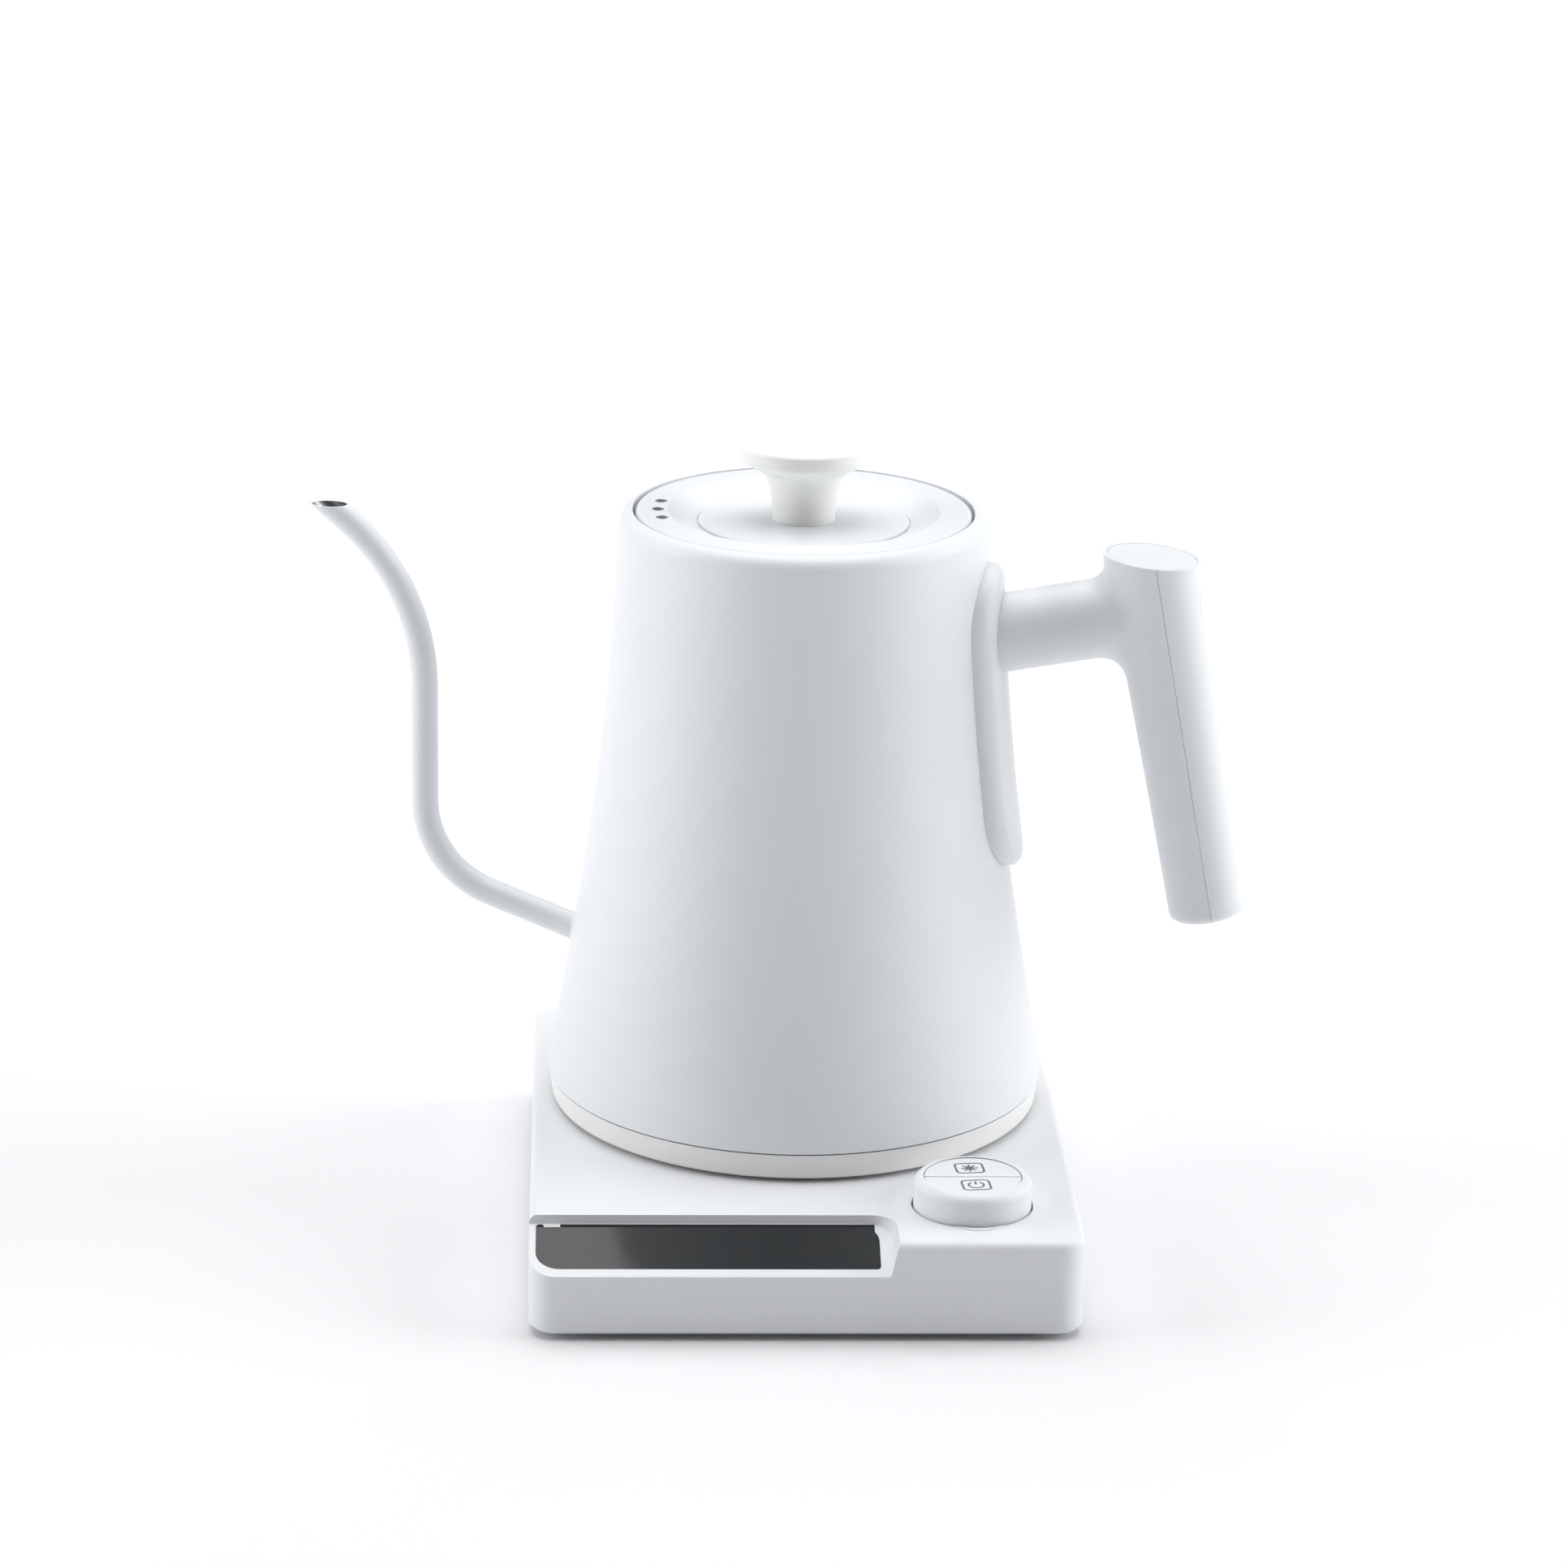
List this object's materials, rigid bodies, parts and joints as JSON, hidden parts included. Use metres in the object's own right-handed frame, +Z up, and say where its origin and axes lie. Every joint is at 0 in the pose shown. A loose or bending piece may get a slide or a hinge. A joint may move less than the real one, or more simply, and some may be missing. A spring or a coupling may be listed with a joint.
{
  "type": "electric gooseneck kettle with heating base",
  "caption": "Cone-shaped electric kettle with a thin curved pouring spout and an angled side handle, on a low rectangular heating base with a display and a dial.",
  "frame": {"origin": "on the worktop, under the kettle's vertical axis", "axes": "+Z up; the base's front, with its display and dial, faces -Y; the handle is towards +X and the spout towards -X"},
  "size_m": [0.281, 0.1954, 0.2359],
  "materials": {
    "powder_coated_steel": "fine satin powder coat",
    "white_plastic": "satin, very fine texture",
    "warm_white_plastic": "satin, smooth",
    "handle_plastic": "soft-touch satin",
    "stainless_steel": "fine brushed",
    "aluminium": "as rolled",
    "zinc_steel": "zinc plated",
    "brass": "bare",
    "black_glass": "polished, back-printed black",
    "dark_plastic": "glass-filled, matt",
    "circuit_board": "solder mask",
    "yellow_tape": "polyester tape",
    "feet_rubber": "matt",
    "silicone": "translucent white"
  },
  "bodies": {
    "base": {"base_upper_cover": "white_plastic", "base_bottom_cover": "white_plastic", "rubber_feet": "feet_rubber", "base_screws": "zinc_steel", "cord_gland": "white_plastic", "display_window": "black_glass", "display_board": "circuit_board", "lower_connector": "warm_white_plastic", "connector_contacts": "brass", "connector_screws": "zinc_steel", "power_board": "circuit_board", "relay": "dark_plastic", "transformer": "yellow_tape", "filter_capacitors": "dark_plastic", "buzzer": "dark_plastic", "dial_post": "white_plastic", "button_board": "circuit_board", "tact_switches": "dark_plastic", "encoder_board": "circuit_board"},
    "dial": {"dial_ring": "white_plastic"},
    "power_key": {"power_button": "white_plastic"},
    "light_key": {"light_button": "white_plastic"},
    "coupler": {"upper_connector": "dark_plastic"},
    "kettle": {"bottom_skirt": "warm_white_plastic", "skirt_screws": "zinc_steel", "body_shell": "powder_coated_steel", "heat_plate": "stainless_steel", "heat_spreader": "aluminium", "heating_element": "aluminium", "temperature_sensor": "stainless_steel", "thermal_cutouts": "dark_plastic", "spout_tube": "powder_coated_steel", "handle_plate": "handle_plastic", "handle_studs": "stainless_steel", "handle_inner_shell": "handle_plastic", "handle_outer_shell": "handle_plastic", "handle_sleeve": "zinc_steel", "handle_bolt": "zinc_steel", "handle_top_cap": "handle_plastic", "handle_plug": "handle_plastic"},
    "lid": {"lid_cover": "powder_coated_steel", "lid_disc": "warm_white_plastic", "lid_cup": "stainless_steel", "lid_seal": "silicone", "lid_knob": "warm_white_plastic", "lid_knob_screw": "zinc_steel"}
  },
  "joints": [
    {"name": "kettle_lift", "type": "slide", "parent": "base", "child": "coupler", "axis": [0, 0, 1], "range_m": [0, 0.1]},
    {"name": "kettle_swivel", "type": "hinge", "parent": "coupler", "child": "kettle", "pos_m": [0, 0, 0.04], "axis": [0, 0, 1], "continuous": true},
    {"name": "lid_lift", "type": "slide", "parent": "kettle", "child": "lid", "axis": [0, 0, 1], "range_m": [0, 0.06]},
    {"name": "dial_turn", "type": "hinge", "parent": "base", "child": "dial", "pos_m": [0.0488, -0.0898, 0.035], "axis": [0, 0, 1], "continuous": true},
    {"name": "power_press", "type": "slide", "parent": "base", "child": "power_key", "axis": [0, 0, -1], "range_m": [0, 0.0008], "stiffness_N_per_m": 600, "springref_m": -0.0005},
    {"name": "light_press", "type": "slide", "parent": "base", "child": "light_key", "axis": [0, 0, -1], "range_m": [0, 0.0008], "stiffness_N_per_m": 600, "springref_m": -0.0005}
  ]
}
